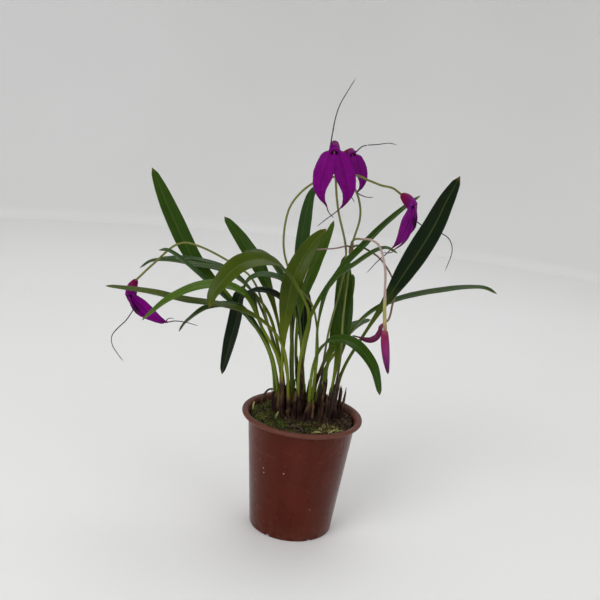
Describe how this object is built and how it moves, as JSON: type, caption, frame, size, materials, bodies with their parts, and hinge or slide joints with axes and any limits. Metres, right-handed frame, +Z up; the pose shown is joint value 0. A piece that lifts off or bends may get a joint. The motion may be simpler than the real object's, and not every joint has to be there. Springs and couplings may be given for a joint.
{
  "type": "masdevallia orchid in a nursery pot",
  "caption": "Tufted masdevallia orchid with strap leaves and tailed purple blooms on thin scapes, growing in a small tapered plastic nursery pot.",
  "frame": {"origin": "centre of the flat rest face under the pot, on the pot's axis", "axes": "+Z up along the pot's axis, -Y to the front where the blooms face, +X to the right seen from the front"},
  "size_m": [0.2785, 0.1255, 0.3342],
  "materials": {
    "pot_plastic": "glossy dark terracotta-brown plastic",
    "peat_and_bark": "coarse damp peat and bark",
    "dead_sheath": "dry papery brown sheaths on a creeping rhizome",
    "leaf_green": "waxy green leaf",
    "scape_olive": "smooth olive stalk",
    "sepal_purple": "satin purple sepal",
    "lip_cream": "matt pale pink lip and column"
  },
  "bodies": {
    "root": {"bloom_a": "sepal_purple", "bloom_b": "sepal_purple", "bloom_c": "sepal_purple", "bloom_d": "sepal_purple", "bloom_f": "sepal_purple", "bud_e": "sepal_purple", "column_a": "lip_cream", "column_b": "lip_cream", "column_c": "lip_cream", "column_d": "lip_cream", "leaf_01": "leaf_green", "leaf_02": "leaf_green", "leaf_03": "leaf_green", "leaf_04": "leaf_green", "leaf_05": "leaf_green", "leaf_06": "leaf_green", "leaf_07": "leaf_green", "leaf_08": "leaf_green", "leaf_09": "leaf_green", "leaf_10": "leaf_green", "leaf_11": "leaf_green", "leaf_12": "leaf_green", "leaf_13": "leaf_green", "leaf_14": "leaf_green", "leaf_15": "leaf_green", "leaf_16": "leaf_green", "leaf_17": "leaf_green", "leaf_18": "leaf_green", "leaf_19": "leaf_green", "leaf_20": "leaf_green", "leaf_21": "leaf_green", "leaf_22": "leaf_green", "leaf_23": "leaf_green", "leaf_24": "leaf_green", "leaf_25": "leaf_green", "pot": "pot_plastic", "rhizome": "dead_sheath", "scape_a": "scape_olive", "scape_b": "scape_olive", "scape_c": "scape_olive", "scape_d": "scape_olive", "substrate": "peat_and_bark"}
  },
  "joints": []
}
